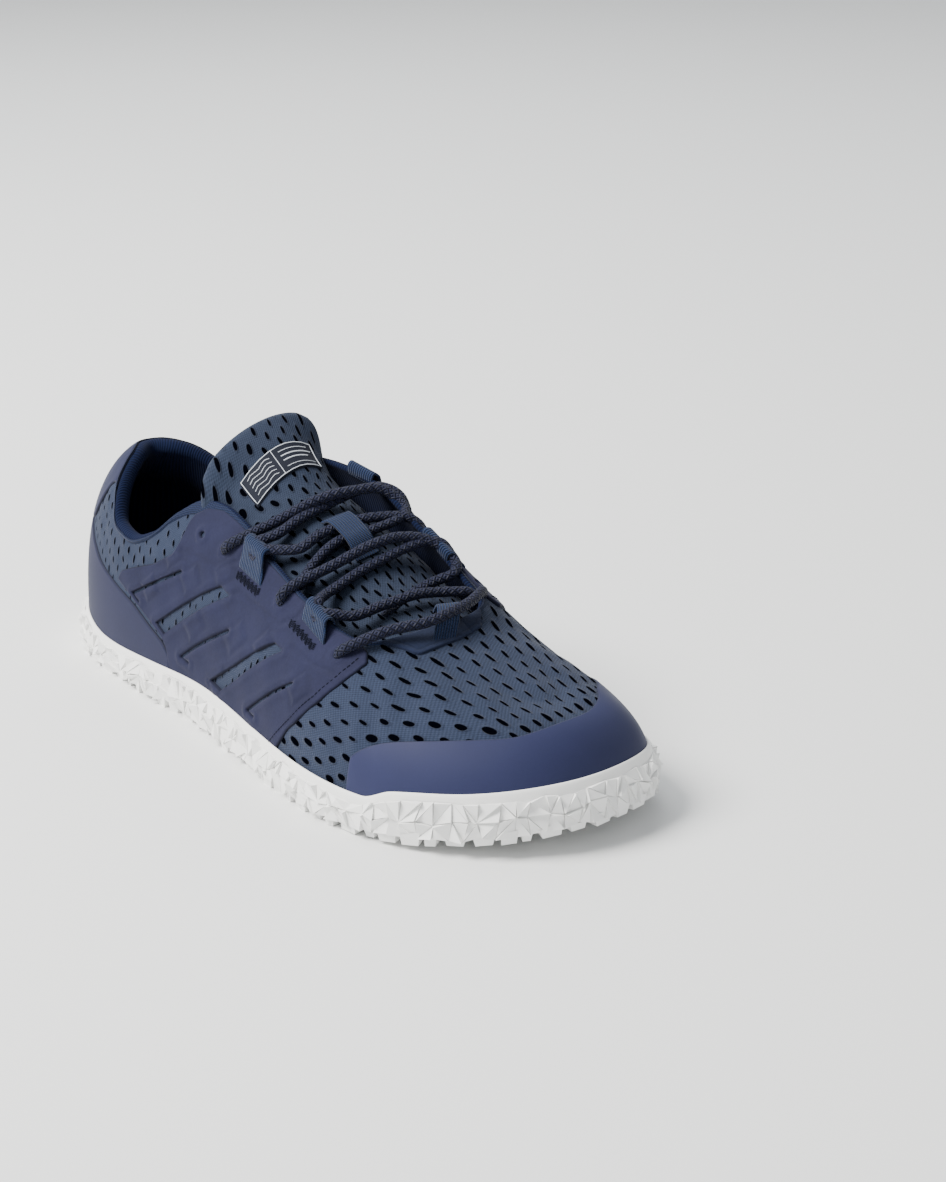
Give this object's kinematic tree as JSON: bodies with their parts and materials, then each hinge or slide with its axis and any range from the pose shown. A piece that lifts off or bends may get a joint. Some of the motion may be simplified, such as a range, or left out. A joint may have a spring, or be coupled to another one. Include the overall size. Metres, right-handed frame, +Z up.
{
  "type": "barefoot shoe",
  "caption": "Low barefoot shoe for the right foot, wide toe box, knit mesh upper with suede side cages, toe cap, corded lacing and a thin white cup sole with a zig-zag tread.",
  "frame": {"origin": "centre of the bounding box in plan, on the floor under the sole", "axes": "+Z up, +Y from heel to toe, +X to the outer (lateral) side"},
  "size_m": [0.1094, 0.2884, 0.1065],
  "materials": {
    "white_rubber": "matte white sole rubber",
    "knit_mesh": "blue-grey knit mesh",
    "tongue_mesh": "blue-grey padded mesh",
    "navy_microsuede": "dull navy microsuede",
    "counter_film": "navy film with a soft satin",
    "toe_film": "navy film with a satin sheen",
    "insole_fabric": "dark navy fabric",
    "webbing": "ribbed navy webbing",
    "lace_cord": "round braided navy cord"
  },
  "bodies": {
    "root": {"outsole": "white_rubber", "upper": "knit_mesh", "insole": "insole_fabric", "tongue": "tongue_mesh", "heel_counter": "counter_film", "toe_cap": "toe_film", "side_cage_lateral": "navy_microsuede", "side_cage_medial": "navy_microsuede", "lace_loop_lateral_front": "webbing", "lace_loop_lateral_rear": "webbing", "lace_loop_medial_front": "webbing", "lace_loop_medial_rear": "webbing", "tongue_keeper": "webbing", "lace_front_bar": "lace_cord", "lace_lower_cross": "lace_cord", "lace_upper_cross": "lace_cord"}
  },
  "joints": []
}
